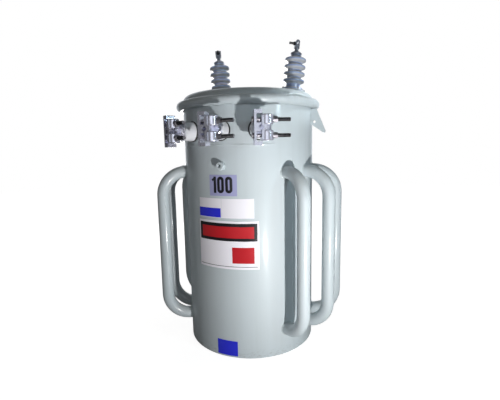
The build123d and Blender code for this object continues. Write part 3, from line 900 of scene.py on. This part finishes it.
def clamp_stud_threads():
    """Threads on the two studs of each low voltage cable clamp, past their nuts."""
    low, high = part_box("lv_clamp_bolts_2")
    stud_reach = -(low.y + high.y) / 2
    end_gap = 0.002
    tail = thread("tail", STUD_RADIUS, STUD_THREAD, high.x - NUT_END - end_gap)
    for number in (1, 2, 3):
        groove = mounts[f"lv_cable_groove_{number}"]
        out = Vector(groove["axis"]).normalized()
        along = Vector((-out.y, out.x, 0))
        nut_end = out * stud_reach + along * NUT_END + UP * groove["pos_m"][2]
        places = [
            Matrix.Translation(nut_end + UP * height) @ facing(along, UP)
            for height in (-STUD_PITCH, STUD_PITCH)
        ]
        threads = copies(tail, places, f"lv_stud_threads_{number}")
        settle(threads, BLACK_STEEL, STEEL_CREASE)
    bpy.data.objects.remove(tail)


def clamp_ring_nuts():
    """Four studs and nuts on the flat ring at the foot of each high voltage bushing."""
    fastener = stud_and_nut()
    for hand in ("left", "right"):
        low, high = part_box(f"hv_clamp_ring_{hand}")
        middle = (low + high) / 2
        axis = (Vector(mounts[f"hv_wire_eye_{hand}"]["pos_m"]) - middle).normalized()
        bolt_circle = (high.x - low.x) / 2 - RING_EDGE
        places = [
            Matrix.Translation(middle + axis * RING_TOP) @ facing(axis, Vector((0, 1, 0)))
            @ Matrix.Rotation(radians(azimuth), 4, "Z") @ Matrix.Translation((bolt_circle, 0, 0))
            for azimuth in (45, 135, 225, 315)
        ]
        nuts = copies(fastener, places, f"hv_ring_nuts_{hand}")
        settle(nuts, ZINC_STEEL, STEEL_CREASE)
    bpy.data.objects.remove(fastener)


def band_bolt_thread():
    """Thread on the tail of the cover band's bolt."""
    low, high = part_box("cover_band_bolt")
    run = sideways(BAND_SPLIT_AZIMUTH)
    tail = thread("band_bolt_thread", BAND_BOLT_RADIUS, BAND_BOLT_THREAD, BAND_THREAD_LENGTH)
    start = (low + high) / 2 + run * BAND_THREAD_START
    tail.matrix_world = Matrix.Translation(start) @ facing(run, UP)
    settle(tail, BLACK_STEEL, STEEL_CREASE)


clamp_stud_threads()
clamp_ring_nuts()
band_bolt_thread()


# ---------------------------------------------------------------- floor, world and lamps

SCREEN_DISTANCE = 3.2
WHITE = (1, 1, 1, 1)
BLACK = (0, 0, 0, 1)


def make_floor():
    """White floor that runs into the background, with a faint shadow of the object on it."""
    floor = add("plane", "floor", size=14.0, location=(0, 0, -0.0005))
    ground = bpy.data.materials.new("pale_floor")
    shader = Shader(ground)
    here = shader.node("TexCoord", output="Object")
    distance = shader.node("VectorMath", {"operation": "LENGTH"}, {0: here}, output="Value")
    fade = shader.node("MapRange", inputs={"Value": distance, "From Min": 0.4, "From Max": 1.3})
    near, far, dark = (shader.node("Emission", inputs={"Strength": level}) for level in (0.9, 1.0, 0.0))
    glow = shader.mix_shader(fade, near, far)
    seen = shader.mix_shader(shader.node("LightPath", output="Is Camera Ray"), dark, glow)
    matt = shader.node("BsdfDiffuse", inputs={"Color": (0.42, 0.42, 0.42, 1)})
    shader.show("Material", shader.node("AddShader", inputs={0: matt, 1: seen}))
    clad(floor, ground)


def make_world():
    """Faint warm light all round, a dim grey in reflections and a white background for the camera."""
    world = bpy.data.worlds.new("studio")
    bpy.context.scene.world = world
    shader = Shader(world)
    warm, dim, white = (
        shader.node("Background", inputs={"Color": colour, "Strength": strength})
        for colour, strength in (((1.0, 0.93, 0.88, 1), 0.105), ((0.72, 0.76, 0.80, 1), 0.10), (WHITE, 1.0))
    )
    unseen = shader.mix_shader(shader.node("LightPath", output="Is Glossy Ray"), warm, dim)
    shader.show("World", shader.mix_shader(shader.node("LightPath", output="Is Camera Ray"), unseen, white))


def lamp(name, azimuth, distance, height, target, size, power, colour, beam=180):
    """Rectangular lamp that faces a height on the tank's axis, with a beam angle in degrees."""
    data = bpy.data.lights.new(name, "AREA")
    data.shape = "RECTANGLE"
    data.size, data.size_y = size
    data.energy = power
    data.color = colour
    data.spread = radians(beam)
    light = bpy.data.objects.new(name, data)
    bpy.context.scene.collection.objects.link(light)
    place = outward(azimuth) * distance + UP * height
    light.matrix_world = Matrix.Translation(place) @ facing(place - UP * target, UP)


def lamp_flag(name, azimuth, distance, foot, width, tall):
    """Upright board that keeps a lamp's light off everything above a level, unseen by the camera."""
    flag = add("plane", name, size=1.0)
    place = outward(azimuth) * distance + UP * (foot + tall / 2)
    turn = facing(outward(azimuth), UP)
    flag.matrix_world = Matrix.Translation(place) @ turn @ Matrix.Diagonal((width, tall, 1, 1))
    flag.visible_camera = False
    flag.visible_diffuse = False
    flag.visible_glossy = False


def glow_screen(name, azimuths, heights, strength):
    """Curved screen round the object, between two azimuths, that shows only in its reflections."""
    screen = curved_sheet(name, SCREEN_DISTANCE, azimuths, heights, segments=96)
    glow = Finish(name).finish(
        Base_Color=BLACK, Emission_Color=(0.86, 0.93, 1.0, 1), Emission_Strength=strength)
    clad(screen, glow)
    screen.visible_camera = False
    screen.visible_diffuse = False
    screen.visible_shadow = False


make_floor()
make_world()
lamp("key_lamp", azimuth=46, distance=1.5, height=0.10, target=0.92, size=(0.05, 0.06), power=7.5,
     colour=(1.0, 0.985, 0.97), beam=112)
lamp("right_lamp", azimuth=71, distance=2.2, height=1.3, target=0.9, size=(0.22, 0.30), power=6.0,
     colour=(0.70, 0.91, 1.0))
lamp("bushing_lamp", azimuth=60, distance=2.4, height=1.36, target=1.20, size=(0.04, 0.04), power=0.1,
     colour=(0.92, 0.95, 1.0), beam=10)
lamp("dome_lamp", azimuth=112, distance=1.9, height=2.0, target=1.18, size=(0.03, 0.03), power=1.9,
     colour=(0.90, 0.96, 1.0), beam=22)
lamp_flag("dome_flag", azimuth=112, distance=1.33, foot=1.695, width=0.8, tall=0.5)
lamp("back_lamp", azimuth=212, distance=2.6, height=0.7, target=0.6, size=(0.9, 0.9), power=21.0,
     colour=(1.0, 0.98, 0.96))
lamp("front_fill", azimuth=6, distance=3.0, height=0.9, target=0.7, size=(1.8, 1.8), power=6.0,
     colour=(0.95, 0.98, 1.0))
glow_screen("back_glow", azimuths=(160, 245), heights=(0.5, 6.0), strength=1.2)
glow_screen("right_glow", azimuths=(86, 150), heights=(0.5, 2.6), strength=0.40)
glow_screen("front_glow", azimuths=(8, 42), heights=(0.4, 2.4), strength=0.9)
glow_screen("left_glow", azimuths=(-72, -40), heights=(0.4, 2.0), strength=0.6)

bpy.context.scene.view_settings.view_transform = "Standard"
